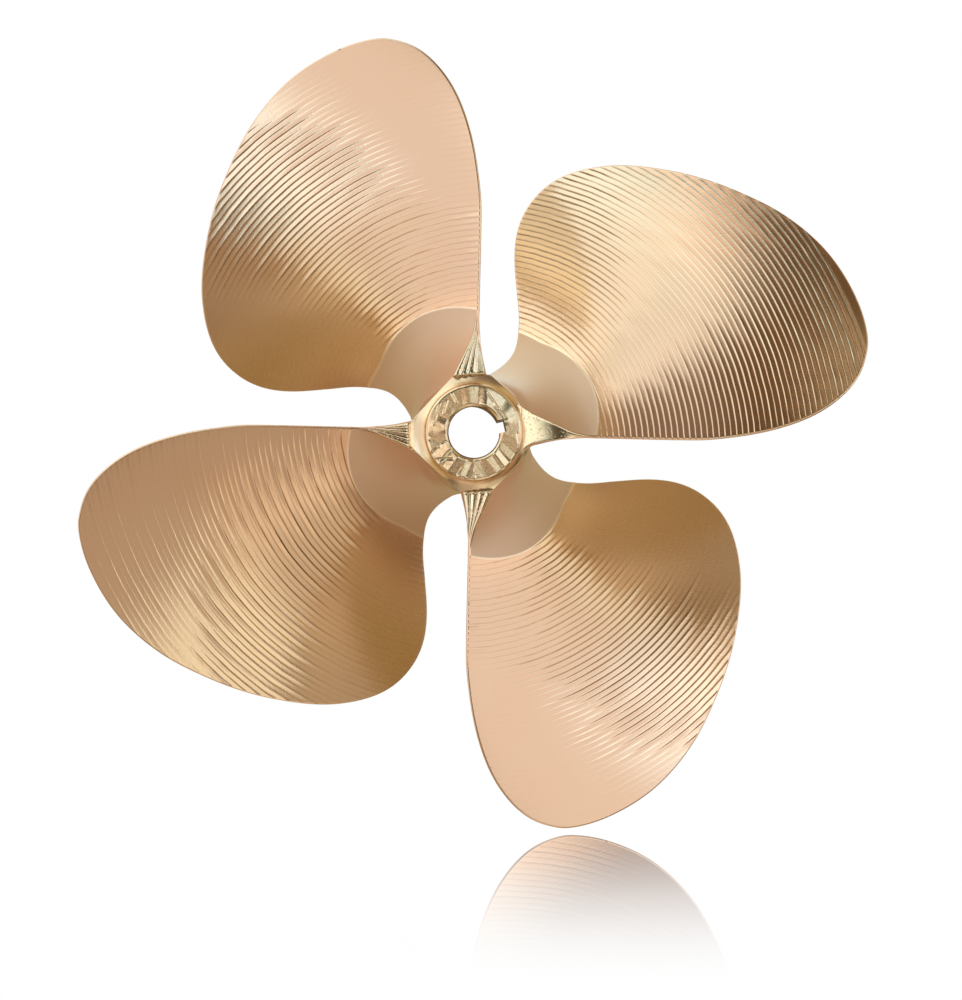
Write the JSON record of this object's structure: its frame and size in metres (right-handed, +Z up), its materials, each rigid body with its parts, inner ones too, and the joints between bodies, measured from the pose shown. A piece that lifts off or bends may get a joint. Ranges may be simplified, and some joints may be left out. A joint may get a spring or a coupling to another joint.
{
  "type": "ship propeller",
  "caption": "Left-hand bladed marine propeller cast in one piece of bronze, with milled ridges on the blade faces and a tapered, keyed shaft bore.",
  "frame": {"origin": "centre of the hub's forward face, on the shaft axis", "axes": "+Y along the shaft axis, forward, the way the shaft leaves the bore; -Y aft, the side of the nut seat; +Z up, close to the first blade's trailing edge"},
  "size_m": [0.7826, 0.1905, 0.7826],
  "materials": {
    "bronze": "satin bronze, milled in fine ridges on the blade faces and turned bright at the hub end"
  },
  "bodies": {
    "root": {"propeller": "bronze"}
  },
  "joints": []
}
